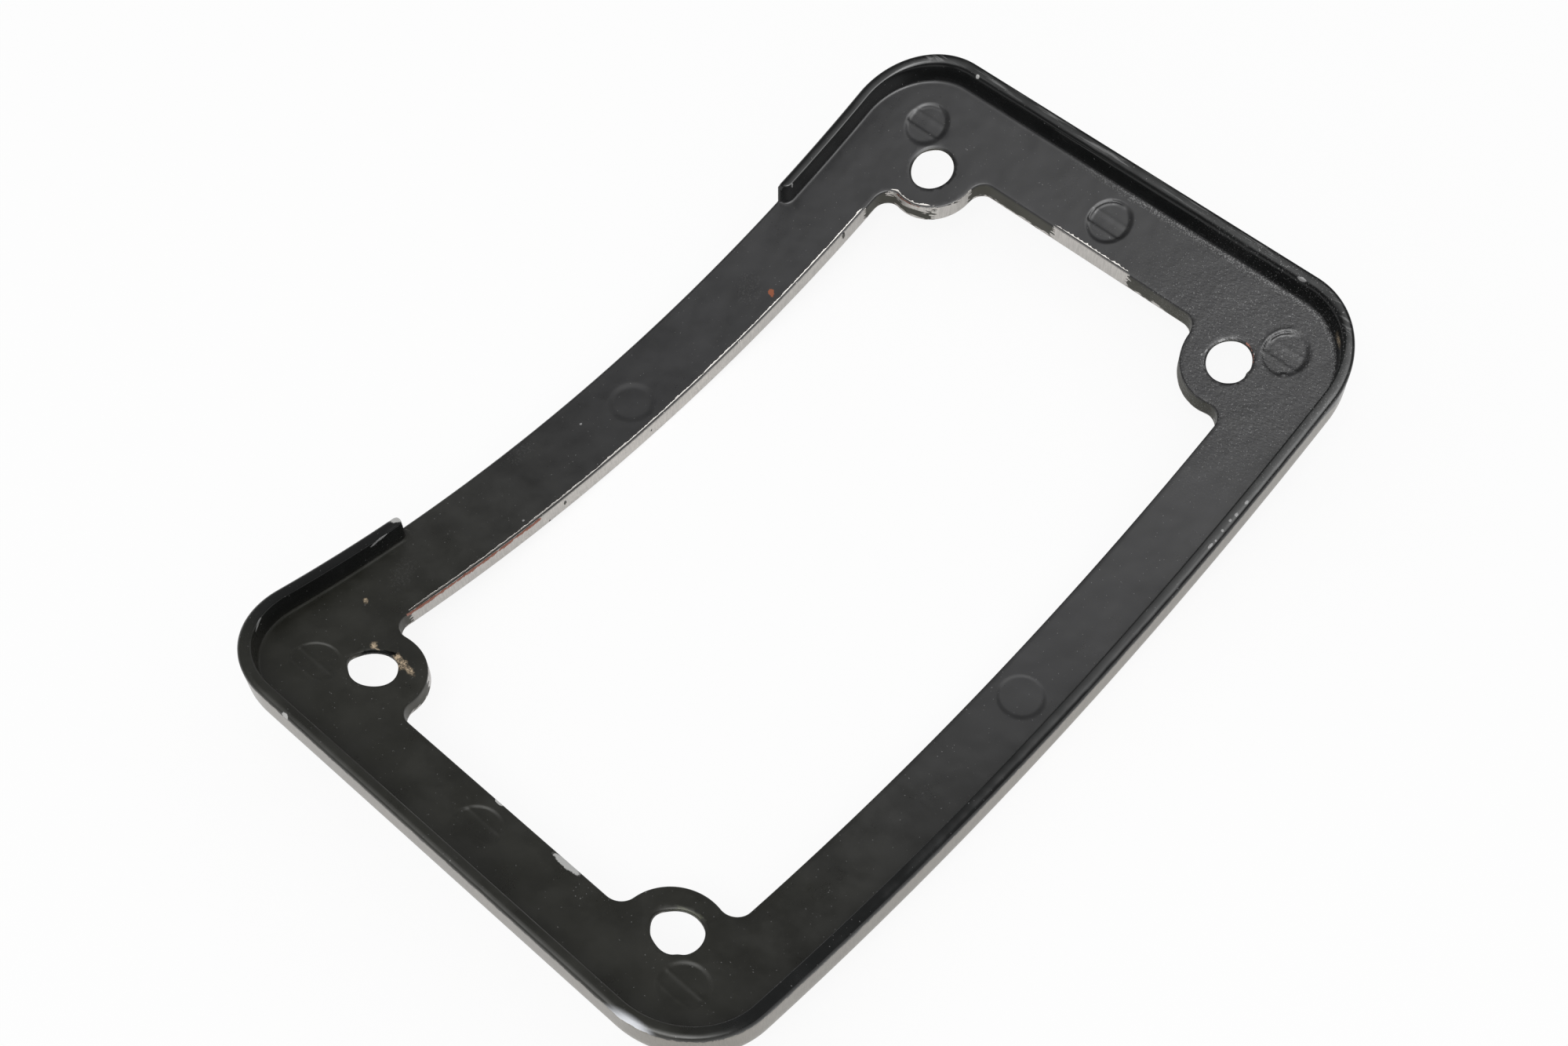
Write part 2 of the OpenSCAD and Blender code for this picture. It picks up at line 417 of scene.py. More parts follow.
def rim_section(plate, rim, height, reach, full_height, x=0.0):
    """One section across the outer edge: distances inwards and heights above the back."""
    rounding = mix(rim.inner_round, rim.end_inner_round, smooth(*RIGHT_END, x))
    foot = min(rim.foot, 0.5 * height)
    inner = min(rounding, 0.45 * height, 0.5 * reach)
    outer = mix(plate.back_round, rim.top_round, height / full_height)
    outer = min(outer, 0.9 * (reach - inner))
    start = (rim.thickness + rim.foot + FOOT_STRIP, 0.0)
    low = plate.front_round - plate.thickness
    return np.concatenate([
        [start],
        arc((reach + foot, foot), foot, 270.0, 180.0, 4),
        straight((reach, mix(foot, height - inner, 0.33)), (reach, height - inner), 2),
        arc((reach - inner, height - inner), inner, 0.0, 90.0, 4),
        arc((outer, height - outer), outer, 90.0, 180.0, 4),
        straight((0.0, mix(height - outer, low, 0.2)), (0.0, low), 4),
        arc((plate.front_round, low), plate.front_round, 180.0, 270.0, 6),
    ])


def rim_state(plate, rim, x, on_open_side):
    """Height, reach and evenness of the section at a place along the edge."""
    full = mix(rim.left_height, rim.right_height, 0.5 + x / plate.length)
    past = max(x - rim.opening_right, -rim.opening_left - x) if on_open_side else math.inf
    if past <= -rim.foot:
        shaped = smooth(-rim.foot - EVEN_OUT, -rim.foot, past)
        return LOW_HEIGHT, rim.thickness - rim.end_round, shaped, full
    if past < 0.0:
        height = rim.foot - math.sqrt(rim.foot ** 2 - (rim.foot + past) ** 2)
        return max(height, LOW_HEIGHT), rim.thickness - rim.end_round, 1.0, full
    rounding = rim.left_top_round if x < 0.0 else rim.right_top_round
    top = max(rounding - past, 0.0)
    height = full - rounding + math.sqrt(rounding ** 2 - top ** 2)
    side = max(rim.end_round - past, 0.0)
    reach = rim.thickness - rim.end_round + math.sqrt(rim.end_round ** 2 - side ** 2)
    return height, reach, 1.0, full


def outer_sections(plate, rim, step):
    """All sections of the rim and the outer wall, as points in space."""
    places, inwards = outer_stations(plate, rim, step)
    full = rim_section(plate, rim, rim.left_height, rim.thickness, rim.left_height)
    level = rim_section(plate, rim, LOW_HEIGHT, rim.thickness, rim.left_height)
    # All points of the section down to the middle of its outer rounding lie on the bare back
    top_points = 16
    even = np.linspace(full[0][0], plate.back_round, top_points)
    level[:top_points] = np.column_stack([even, np.zeros(top_points)])
    sections = []
    for place, inward in zip(places, inwards):
        on_open_side = place[1] > plate.width / 2 - 0.01 * MM
        height, reach, shaped, full_height = rim_state(plate, rim, place[0], on_open_side)
        section = rim_section(plate, rim, height, reach, full_height, place[0])
        section = mix(level, section, shaped)
        flat = place + inward * section[:, :1]
        sections.append(np.column_stack([flat, section[:, 1]]))
    return np.array(sections)


def window_quarter(plate, lobe_radius, lobe_shift, step):
    """The window's edge round one hole, from the long side to the end, with outward directions."""
    side = HOLE_PLACE + (plate.window_past_x, plate.window_past_y)
    lobe = HOLE_PLACE + (lobe_shift, 0.0)
    reach = lobe_radius + plate.fillet
    long_y = side[1] - plate.fillet
    end_x = side[0] - plate.fillet
    long_fillet = np.array([lobe[0] - math.sqrt(reach ** 2 - (long_y - lobe[1]) ** 2), long_y])
    end_fillet = np.array([end_x, lobe[1] - math.sqrt(reach ** 2 - (end_x - lobe[0]) ** 2)])
    long_turn = math.degrees(math.atan2(*(lobe - long_fillet)[::-1]))
    end_turn = math.degrees(math.atan2(*(lobe - end_fillet)[::-1]))
    fine = 0.6 * step
    points, outwards = [], []
    for centre, radius, start, end, sign in (
            (long_fillet, plate.fillet, 90.0, long_turn, 1),
            (lobe, lobe_radius, 180.0 + long_turn, 180.0 + end_turn, -1),
            (end_fillet, plate.fillet, end_turn, 0.0, 1)):
        steps = steps_for(radius * math.radians(abs(end - start)), fine)
        found = arc(centre, radius, start, end, steps)
        if points:
            found = found[1:]
        points.append(found)
        outwards.append(sign * (found - centre) / radius)
    return np.concatenate(points), np.concatenate(outwards)


# Lobes by the signs of x and y, anticlockwise: what each one's radius and shift differ by, in
# millimetres
LOBE_CHANGES = {
    (1, 1): (0.0, 0.0),
    (-1, 1): (0.25, -0.3),
    (-1, -1): (0.0, 0.0),
    (1, -1): (0.15, -0.2),
}


def window_stations(plate, step):
    """Points round the window, anticlockwise, and directions into the metal."""
    quarters = []
    for signs, (grow, shift) in LOBE_CHANGES.items():
        quarter = window_quarter(plate, plate.lobe + grow * MM, plate.lobe_shift + shift * MM, step)
        turned = -1 if signs[0] == signs[1] else 1
        quarters.append([(values * signs)[::turned] for values in quarter])
    points, outwards = [], []
    for (found, outward), (after, _) in zip(quarters, quarters[1:] + quarters[:1]):
        start, end = found[-1], after[0]
        side = straight(start, end, steps_for(np.hypot(*(end - start)), step))[1:]
        points += [found, side]
        outwards += [outward, np.broadcast_to(outward[-1], side.shape)]
    return np.concatenate(points), np.concatenate(outwards)


def window_sections(plate, step):
    """Sections through the window's wall, from the painted back to the polished front."""
    places, outwards = window_stations(plate, step)
    back, front, low = plate.edge_round, plate.window_front_round, -plate.thickness
    section = np.concatenate([
        arc((back, -back), back, 90.0, 180.0, 3),
        straight((0.0, mix(-back, low + front, 0.16)), (0.0, low + front), 5),
        arc((front, low + front), front, 180.0, 270.0, 4),
    ])
    flat = places[:, None, :] + outwards[:, None, :] * section[None, :, :1]
    heights = np.broadcast_to(section[:, 1], flat.shape[:2])
    return np.dstack([flat, heights])


# Holes by the signs of x and y: radius, width and depth of the rolled back edge and depth of the
# lip, then dents and bulges as (direction in degrees, width in degrees, change of the radius),
# all else in millimetres
HOLES = {
    (1, 1): (4.05, 0.55, 0.4, 0.5, ((70.0, 45.0, 0.2), (155.0, 25.0, 0.08))),
    (-1, 1): (4.05, 0.1, 0.1, 1.2, ((112.0, 22.0, 0.6), (45.0, 30.0, -0.1), (222.0, 40.0, -0.25),
                                    (312.0, 25.0, -0.1))),
    (-1, -1): (4.2, 0.2, 0.2, 1.1, ((92.0, 25.0, 0.5), (225.0, 12.0, -0.25), (165.0, 20.0, -0.15),
                                    (315.0, 25.0, 0.1))),
    (1, -1): (4.05, 0.45, 0.35, 0.5, ((345.0, 45.0, 0.15), (175.0, 35.0, -0.1), (272.0, 7.0, -0.25),
                                      (80.0, 25.0, 0.12), (240.0, 15.0, 0.1))),
}
# Directions in which a hole is drawn, in degrees
HOLE_ANGLES = np.arange(0.0, 360.0, 5.0)
# Direction in which a hole's rolled edge is widest, and its width opposite as a share of that
ROLL_WIDEST = math.radians(60.0)
ROLL_NARROWEST = 0.3


def hole_radii(radius, changes):
    """Distance of the hole's edge from its centre in all directions."""
    radii = np.full(len(HOLE_ANGLES), radius)
    for direction, spread, change in changes:
        radii += change * np.exp(-(turned_from(direction, HOLE_ANGLES) / spread) ** 2)
    return radii * MM


def hole_sections(plate, signs):
    """Sections through one hole's lip and its recess, from the back to the front."""
    radius, roll, roll_depth, lip, changes = HOLES[signs]
    centre = np.array(signs) * HOLE_PLACE
    turn = np.radians(HOLE_ANGLES)
    rays = np.column_stack([np.cos(turn), np.sin(turn)])
    edge = hole_radii(radius, changes)
    recess = plate.recess / 2
    low = -plate.thickness
    # The roll is widest in one direction and narrowest in the opposite one
    wide = 0.5 + 0.5 * np.cos(turn - ROLL_WIDEST)
    rows = []
    for part in np.linspace(1.0, 0.0, 6):
        reach = roll * mix(ROLL_NARROWEST, 1.0, wide) * part * MM
        rows.append((edge + reach, -roll_depth * (1.0 - part) ** 1.25 * MM))
    for part in (0.5, 1.0):
        rows.append((edge, -mix(roll_depth, lip, part) * MM))
    rows.append((mix(edge, recess, 0.5), -lip * MM))
    # The wall of the recess, down to its rounded edge on the front
    for past, height in ((0.0, -lip * MM), (0.0, mix(-lip * MM, low, 0.5)), (0.0, low + 0.3 * MM),
                         (0.1 * MM, low + 0.08 * MM), (0.3 * MM, low)):
        rows.append((np.full(len(HOLE_ANGLES), recess + past), height))
    sections = [lifted(centre + rays * reach[:, None], z) for reach, z in rows]
    return np.array(sections).transpose(1, 0, 2)


# Ejector marks by the signs of x and y: shift of the centre in x and in y and of the groove in x
# (None without a groove), in millimetres, then the groove's share of the full depth, and the
# mark's depth and steepness as shares, first at its lower left and then at its upper right
MARKS = {
    (1, 1): (0.2, -0.3, -0.1, 1.0, (1.3, 1.0), (0.7, 1.2)),
    (1, 0): (0.4, -0.05, -0.6, 1.0, (1.2, 1.0), (0.85, 1.1)),
    (1, -1): (0.35, 0.05, -0.4, 0.8, (1.1, 0.9), (0.85, 1.0)),
    (0, 1): (0.0, 0.0, None, 0.0, (0.5, 0.5), (0.7, 0.7)),
    (0, -1): (-0.2, 0.25, None, 0.0, (0.5, 0.3), (0.9, 1.6)),
    (-1, 1): (0.35, 0.0, -1.2, 0.55, (0.1, 0.6), (1.0, 2.2)),
    (-1, 0): (0.0, 0.0, 0.25, 0.5, (0.1, 0.7), (1.0, 1.6)),
    (-1, -1): (0.35, 0.0, -1.2, 0.6, (0.3, 0.8), (1.0, 1.3)),
}


def mark_place(marks, signs):
    """Centre of one ejector mark."""
    corner = HOLE_PLACE + (marks.corner_x, marks.corner_y)
    reach = (corner[0] if signs[1] else marks.end_x, corner[1] if signs[0] else marks.side_y)
    return np.array(signs) * reach + np.array(MARKS[signs][:2]) * MM


def mark_fields(points, marks):
    """Depths and distances at each point that the tree sinks the marks by."""
    radius = marks.diameter / 2
    fields = {
        "mark_distance": np.full(len(points), 1.0),
        "mark_depth": np.zeros(len(points)),
        "groove_distance": np.full(len(points), 1.0),
        "groove_depth": np.zeros(len(points)),
    }
    for signs, (_, _, groove_shift, groove_share, depths, steep) in MARKS.items():
        off = points[:, :2] - mark_place(marks, signs)
        close = np.hypot(*off.T) < marks.diameter
        off = off[close]
        upper_right = smooth(-radius, radius, off.sum(axis=1) / math.sqrt(2.0))
        away = np.hypot(*off.T) - radius
        fields["mark_distance"][close] = radius + away * mix(*steep, upper_right)
        fields["mark_depth"][close] = mix(*depths, upper_right)
        if groove_shift is not None:
            fields["groove_distance"][close] = np.abs(off[:, 0] - groove_shift * MM)
            fields["groove_depth"][close] = groove_share
    return fields


# Ridges of flash and, with a minus, cracks at the edges of marks: which mark by the signs of x and
# y, radius, start and end in degrees, height and half width, in millimetres
FLASH = (
    ((1, 1), 4.15, -14.0, 104.0, 0.05, 0.3),
    ((1, 1), 3.9, -12.0, 62.0, -0.08, 0.25),
    ((1, 1), 3.62, -12.0, 66.0, 0.07, 0.3),
    ((1, 0), 4.22, -16.0, 118.0, 0.05, 0.3),
    ((1, 0), 3.93, -10.0, 124.0, -0.15, 0.27),
    ((1, 0), 3.6, -22.0, 118.0, 0.15, 0.33),
    ((1, -1), 4.3, 10.0, 118.0, 0.1, 0.5),
    ((1, -1), 3.85, 22.0, 88.0, -0.12, 0.25),
    ((1, -1), 3.52, 10.0, 88.0, 0.1, 0.3),
    ((1, -1), 3.9, 206.0, 220.0, 0.2, 0.6),
)


def flash_heights(points, marks):
    """Height of the flash and the cracks at the edges of the marks."""
    heights = np.zeros(len(points))
    for signs, radius, start, end, height, half_width in FLASH:
        off = points[:, :2] - mark_place(marks, signs)
        across = np.abs(np.hypot(*off.T) - radius * MM) / (half_width * MM)
        middle, reach = (start + end) / 2, (end - start) / 2
        turn = turned_from(middle, np.degrees(np.arctan2(off[:, 1], off[:, 0])))
        along = 1.0 - smooth(0.7, 1.0, np.abs(turn) / reach)
        heights += height * MM * along * (1.0 - smooth(0.0, 1.0, across))
    return heights


def flat_casting(scene):
    """The whole casting laid flat, as a closed skin."""
    plate, rim, detail = scene.plate_shape, scene.rim_shape, scene.mesh_detail
    skin = Skin()
    outer = skin.add(outer_sections(plate, rim, detail.edge_step), "rim")
    skin.sweep(outer, outwards=True)
    window = skin.add(window_sections(plate, detail.edge_step), "window")
    skin.sweep(window, outwards=False)
    backs, fronts = [outer[:, 0], window[:, 0]], [outer[:, -1], window[:, -1]]
    for signs in HOLES:
        hole = skin.add(hole_sections(plate, signs), "hole")
        skin.sweep(hole, outwards=False)
        backs.append(hole[:, 0])
        fronts.append(hole[:, -1])
    points = np.concatenate(skin.points)
    outlines = [points[loop][:, :2] for loop in backs]
    skin.fill(backs, back_points(outlines, scene.mark_shape, detail), 0.0, "back", upwards=True)
    outlines = [points[loop][:, :2] for loop in fronts]
    inner = scattered(outlines, detail.front_step)
    skin.fill(fronts, inner, -plate.thickness, "front", upwards=False)
    return skin


# Fields of the finish, one value for each point

# Width over which paint gives way to plating
PAINT_EDGE = 1.2 * MM
# How far below the rim's top the paint ends, and how much lower it goes at the right end
PAINT_BELOW_TOP = 1.2 * MM
PAINT_CORNER = 4.5 * MM
# Width of the strip along the side that counts as the rim's opening, and the height over the
# back at which the paint ends on the outer wall there
OPEN_STRIP = 3.2 * MM
OPEN_PAINT_EDGE = -0.5 * MM
# Where the plating shows on the window's wall: ranges of x, y and height over the back, in
# millimetres
BARE_WALL = (
    ((-60.5, 59.5), (38.0, 42.0), (-5.0, 1.0)),
    ((74.0, 79.0), (-9.8, 8.0), (-5.0, 1.0)),
    ((65.0, 73.4), (24.5, 29.5), (-5.0, -0.15)),
    ((63.0, 67.0), (29.0, 39.0), (-1.2, 1.0)),
    ((-68.0, -62.0), (24.5, 36.0), (-5.0, -0.5)),
    ((-50.0, 60.0), (-42.0, -38.0), (-5.0, -0.8)),
    ((-79.0, -74.0), (-16.0, 18.0), (-5.0, -0.5)),
)
# Where the window's painted edge is worn into bright dashes
WORN_EDGE = (
    ((-30.0, 52.0), (39.0, 42.0), (-0.22, 0.0)),
)
# Where a copper coat shows at that edge
COPPER_EDGE = (
    ((-61.5, -30.0), (39.0, 42.0), (-0.75, -0.1)),
    ((63.0, 66.0), (31.5, 37.5), (-0.25, -0.08)),
    ((75.0, 78.5), (-39.0, -35.2), (-0.16, -0.04)),
)


def under(value, limit, soft):
    """1 well under the limit, 0 well over it and a half on it."""
    return np.clip(0.5 - (value - limit) / soft, 0.0, 1.0)


def box_field(points, boxes, soft):
    """1 well inside one of the boxes, 0 well outside them all and a half on their faces."""
    best = np.zeros(len(points))
    for box in boxes:
        spans = np.array(box) * MM
        off = np.maximum(spans[:, 0] - points, points - spans[:, 1]).max(axis=1)
        best = np.maximum(best, under(off, 0.0, soft))
    return best


def distance_in(points, plate):
    """Distance of each point from the outer face."""
    flat = np.abs(points[:, :2]) - (plate.length / 2 - plate.corner, plate.width / 2 - plate.corner)
    return plate.corner - np.hypot(*np.maximum(flat, 0.0).T) - np.minimum(flat.max(axis=1), 0.0)


def rim_height(points, plate, rim):
    """Full height of the rim at each point."""
    return mix(rim.left_height, rim.right_height, 0.5 + points[:, 0] / plate.length)


def bare_rim(points, plate, rim):
    """1 below the paint's edge on the outer wall, and 0 above it and inside the rim."""
    full = rim_height(points, plate, rim)
    opened = points[:, 1] > plate.width / 2 - OPEN_STRIP
    opened &= (points[:, 0] > -rim.opening_left) & (points[:, 0] < rim.opening_right)
    painted_corner = PAINT_CORNER * smooth(68 * MM, 84 * MM, points[:, 0])
    paint_edge = np.where(opened, OPEN_PAINT_EDGE, full - PAINT_BELOW_TOP - painted_corner)
    inner = (distance_in(points, plate) > 0.5 * MM) & (points[:, 2] > -MM)
    return np.where(inner, 0.0, under(points[:, 2], paint_edge, PAINT_EDGE))


def rim_top(points, plate, rim):
    """1 along the middle of the rim's top, fading away from it."""
    across = np.abs(distance_in(points, plate) - 0.5 * rim.thickness)
    high = np.abs(points[:, 2] - rim_height(points, plate, rim))
    return np.clip(1.0 - np.maximum(across, high) / (0.8 * MM), 0.0, 1.0)


def add_fields(mesh, skin, scene):
    """Stores what the finish and the bend read as fields of the mesh."""
    points = np.concatenate(skin.points)
    parts = np.array(skin.parts)
    plate, rim = scene.plate_shape, scene.rim_shape
    height = points[:, 2]
    above_front = height + plate.thickness
    inwards = distance_in(points, plate)
    wall = parts == "window"
    hole = parts == "hole"
    on_rim = parts == "rim"
    bare = {
        "rim": bare_rim(points, plate, rim),
        "front": np.ones(len(points)),
        "back": np.zeros(len(points)),
        "hole": under(height, -1.2 * MM, PAINT_EDGE),
        "window": np.maximum(box_field(points, BARE_WALL, 1.4 * MM),
                             under(above_front, 0.6 * MM, PAINT_EDGE)),
    }
    fields = {
        **mark_fields(points, scene.mark_shape),
        "back_face": parts == "back",
        "bare": np.select([parts == name for name in bare], list(bare.values())),
        "under_edge": np.where(wall, -height / (0.4 * MM), 1.0),
        "worn_edge": wall * box_field(points, WORN_EDGE, 0.25 * MM),
        "copper": (wall | hole) * box_field(points, COPPER_EDGE, 0.3 * MM),
        "rim": on_rim * smooth(0.1 * MM, 0.7 * MM, height),
        "rim_top": on_rim * rim_top(points, plate, rim),
        "foot": on_rim * (inwards > 2.4 * MM) * (1.0 - smooth(0.1 * MM, 0.3 * MM, height)),
        "wall": (wall | hole) * smooth(0.15 * MM, 0.5 * MM, -height),
        "outer_wall": on_rim * smooth(0.3 * MM, 2.0 * MM, above_front)
        * (inwards < 0.5 * rim.thickness),
    }
    for name, values in fields.items():
        field = mesh.attributes.new(name, "FLOAT", "POINT")
        field.data.foreach_set("value", values.astype(np.float32))


# Bend and ejector marks, as a Geometry Nodes tree

def emptied_tree(owner):
    """The node tree of a material or a world, without nodes."""
    owner.use_nodes = True
    owner.node_tree.nodes.clear()
    return owner.node_tree


class Graph:
    """Short calls for building a node tree."""

    def __init__(self, tree):
        self.tree = tree

    def feed(self, socket, value):
        """Gives an input its value, or links it to the socket that brings it."""
        if isinstance(value, bpy.types.NodeSocket):
            self.tree.links.new(value, socket)
        elif value is not None:
            socket.default_value = value

    def node(self, kind, *inputs, settings=(), **named):
        """A node with its inputs, each a value or a socket, by place or by name."""
        made = self.tree.nodes.new(kind)
        for setting, value in dict(settings).items():
            setattr(made, setting, value)
        for socket, value in zip(made.inputs, inputs):
            self.feed(socket, value)
        for key, value in named.items():
            self.feed(made.inputs[key], value)
        return made

    def math(self, operation, *inputs):
        """The result of one sum on numbers."""
        kind = "ShaderNodeMath"
        return self.node(kind, *inputs, settings={"operation": operation}).outputs[0]

    def vector(self, operation, *inputs, **named):
        """The outputs of one sum on vectors."""
        kind = "ShaderNodeVectorMath"
        return self.node(kind, *inputs, settings={"operation": operation}, **named).outputs

    def chain(self, operation, first, *others):
        """The result of one kind of sum on several numbers, taken in turn."""
        for other in others:
            first = self.math(operation, first, other)
        return first

    def plus(self, *numbers):
        """Numbers added."""
        return self.chain("ADD", *numbers)

    def minus(self, first, second):
        """The second number taken from the first."""
        return self.math("SUBTRACT", first, second)

    def times(self, *numbers):
        """Numbers multiplied."""
        return self.chain("MULTIPLY", *numbers)

    def slope(self, value, low, high, start=0.0, end=1.0, kind="SMOOTHSTEP"):
        """A value's way from low to high, as a number from start to end."""
        made = self.node("ShaderNodeMapRange", value, low, high, start, end,
                         settings={"interpolation_type": kind})
        return made.outputs[0]

    def between(self, part, first, second):
        """A number that goes from first to second as part goes from 0 to 1."""
        return self.node("ShaderNodeMix", part, None, first, second).outputs[0]


# Sizes that the tree takes, and the property that each one comes from
BEND_SIZES = {
    "Bend radius": "plate_shape.bend",
    "Thickness": "plate_shape.thickness",
    "Mark diameter": "mark_shape.diameter",
    "Mark depth": "mark_shape.depth",
    "Mark edge": "mark_shape.edge",
    "Groove width": "mark_shape.groove_width",
    "Groove depth": "mark_shape.groove_depth",
    "Groove edge": "mark_shape.groove_edge",
    "Groove ridge": "mark_shape.ridge",
}


def bend_tree():
    """A tree that sinks the ejector marks into the flat casting and then bends it."""
    tree = bpy.data.node_groups.new("Marks and bend", "GeometryNodeTree")
    tree.interface.new_socket("Geometry", in_out="INPUT", socket_type="NodeSocketGeometry")
    for name in BEND_SIZES:
        socket = tree.interface.new_socket(name, in_out="INPUT", socket_type="NodeSocketFloat")
        socket.subtype = "DISTANCE"
    tree.interface.new_socket("Finish", in_out="INPUT", socket_type="NodeSocketMaterial")
    tree.interface.new_socket("Geometry", in_out="OUTPUT", socket_type="NodeSocketGeometry")
    graph = Graph(tree)
    plus, minus, times = graph.plus, graph.minus, graph.times
    given = graph.node("NodeGroupInput").outputs
    place = graph.node("GeometryNodeInputPosition").outputs[0]
    x, y, z = graph.node("ShaderNodeSeparateXYZ", place).outputs

    def field(name):
        settings = {"data_type": "FLOAT"}
        return graph.node("GeometryNodeInputNamedAttribute", name, settings=settings).outputs[0]

    def plateau(distance, width, slope_width):
        half = times(width, 0.5)
        reach = times(slope_width, 0.5)
        return graph.slope(distance, plus(half, reach), minus(half, reach))

    disc = plateau(field("mark_distance"), given["Mark diameter"], given["Mark edge"])
    from_groove = field("groove_distance")
    groove = plateau(from_groove, given["Groove width"], given["Groove edge"])
    side = times(plus(given["Groove width"], given["Groove edge"]), 0.5)
    from_ridge = graph.math("ABSOLUTE", minus(from_groove, side))
    ridge = graph.slope(from_ridge, times(given["Groove edge"], 0.6), 0.0)
    grooved = minus(times(groove, given["Groove depth"]), times(ridge, given["Groove ridge"]))
    grooved = times(grooved, field("groove_depth"))
    sunk = times(disc, plus(times(field("mark_depth"), given["Mark depth"]), grooved))
    height = minus(z, times(sunk, field("back_face")))

    axis = plus(given["Bend radius"], given["Thickness"])
    radius = minus(given["Bend radius"], height)
    drop = graph.math("SQRT", minus(times(radius, radius), times(x, x)))
    bent = graph.node("ShaderNodeCombineXYZ", x, y, minus(axis, drop)).outputs[0]
    moved = graph.node("GeometryNodeSetPosition", given["Geometry"], Position=bent)
    whole = graph.node("GeometryNodeRealizeInstances", moved.outputs[0]).outputs[0]
    finished = graph.node("GeometryNodeSetMaterial", whole, Material=given["Finish"])
    graph.node("NodeGroupOutput", finished.outputs[0])
    return tree


# Finish

# Where the paint is grainy on the back, with painted glints there, and where painted glints are
# dotted along the rim's foot: x and y, and the distances at which they start and are full, in
# millimetres
GRAINY_BACK = (76.0, -36.0, 34.0, 12.0)
GLINTS_ALONG_FOOT = (90.0, -24.0, 42.0, 18.0)

# Spots on the casting by kind: x, y, height over the back, length, width, height, and the
# direction of the length in degrees, all else in millimetres
SPOTS = {
    "rust": (
        (34.9, 42.9, 0.0, 2.0, 1.1, 2.0, 55.0),
    ),
    "dull": (
        (33.0, 47.0, 0.0, 9.0, 5.0, 2.0, 45.0),
        (-22.5, 53.5, 0.0, 7.0, 3.0, 2.0, 0.0),
        (81.5, -33.0, 0.0, 13.0, 3.0, 2.0, -100.0),
        (-56.0, 47.5, 0.0, 14.0, 4.0, 2.0, 20.0),
    ),
    "clay": (
        (-64.3, 47.2, 0.0, 1.3, 0.9, 2.0, 60.0),
        (-68.6, 34.1, 0.0, 2.6, 1.5, 2.0, 70.0),
        (-69.0, 32.6, 0.0, 2.6, 1.7, 2.0, 20.0),
        (-68.9, 30.9, 0.0, 2.6, 1.2, 2.0, 80.0),
        (-69.7, 38.8, 0.0, 1.6, 1.2, 2.0, 30.0),
        (-69.8, 37.7, 0.0, 1.8, 0.4, 2.0, 95.0),
        (85.2, -49.2, 2.2, 5.0, 1.0, 2.5, 45.0),
    ),
    "olive": (
        (-69.4, -33.3, -0.5, 6.5, 1.4, 1.6, 108.0),
    ),
    # Painted shade on the wall of a hole at the left
    "shade": (
        (-70.4, 37.4, -0.5, 7.0, 1.2, 2.4, 133.0),
    ),
    # Pale marks: burrs, crust, specks and scratches, and some painted highlights and a painted
    # glint
    "pale": (
        (75.4, -31.4, 0.0, 1.5, 0.35, 0.8, 146.0),
        (72.3, -30.4, 0.0, 1.0, 0.3, 0.8, 5.0),
        (71.3, -30.2, 0.0, 0.5, 0.3, 0.8, 30.0),
        # A painted glint on the copper line
        (76.5, -37.8, 0.0, 0.5, 0.2, 0.8, 50.0),
        (-9.9, 50.2, 0.0, 0.5, 0.4, 2.0, 0.0),
        (-32.5, 42.0, 0.0, 0.5, 0.4, 2.0, 0.0),
        (-54.5, 53.2, 4.6, 6.5, 0.35, 0.9, 0.0),
        (-81.3, 51.6, 4.7, 5.5, 0.5, 0.9, 23.0),
        (89.1, -37.4, 4.3, 1.8, 0.6, 0.9, 95.0),
        # A painted highlight on the inner face of the rim's right end
        (52.7, 53.3, 4.1, 0.5, 0.6, 1.2, 0.0),
        # Painted highlights on the near rim's outer top edge
        (51.0, -54.8, 4.5, 0.9, 0.6, 0.9, 0.0),
        (48.1, -54.8, 4.5, 0.8, 0.6, 0.9, 0.0),
        (46.6, -54.6, 4.5, 0.7, 0.5, 0.9, 0.0),
        (44.3, -54.7, 4.5, 0.6, 0.6, 0.9, 0.0),
        (42.1, -54.9, 4.4, 0.7, 0.5, 0.9, 0.0),
        (40.8, -54.8, 4.5, 1.6, 0.5, 0.9, 0.0),
    ),
    "chip": (
        (-76.7, -14.6, 0.0, 5.6, 1.5, 1.5, 92.0),
        (-76.3, 1.1, 0.0, 1.7, 0.8, 1.5, 90.0),
        (-90.9, 33.3, 4.2, 1.4, 1.0, 1.2, 90.0),
        (-49.6, 55.1, 4.5, 3.4, 2.6, 3.0, 0.0),
        (89.0, 37.7, 4.4, 1.0, 0.8, 1.0, 0.0),
    ),
    # A painted reflection on the rim at the near corner
    "painted_reflection": (
        (-91.0, -43.5, 3.7, 12.0, 3.5, 4.0, 95.0),
    ),
    "paint": (
        (53.0, 40.4, -0.8, 0.9, 1.0, 1.8, 0.0),
        (-23.9, 40.4, -1.4, 0.6, 1.0, 1.3, 0.0),
        (-28.0, 40.4, -3.3, 0.5, 1.0, 1.0, 0.0),
        (-1.4, 40.4, -1.7, 0.4, 1.0, 0.5, 0.0),
    ),
}


def bent_place(plate, x, y, height):
    """A place given in millimetres on the flat casting, where it lies once that is bent."""
    radius = plate.bend - height * MM
    drop = math.sqrt(radius ** 2 - (x * MM) ** 2)
    return (x * MM, y * MM, plate.bend + plate.thickness - drop)


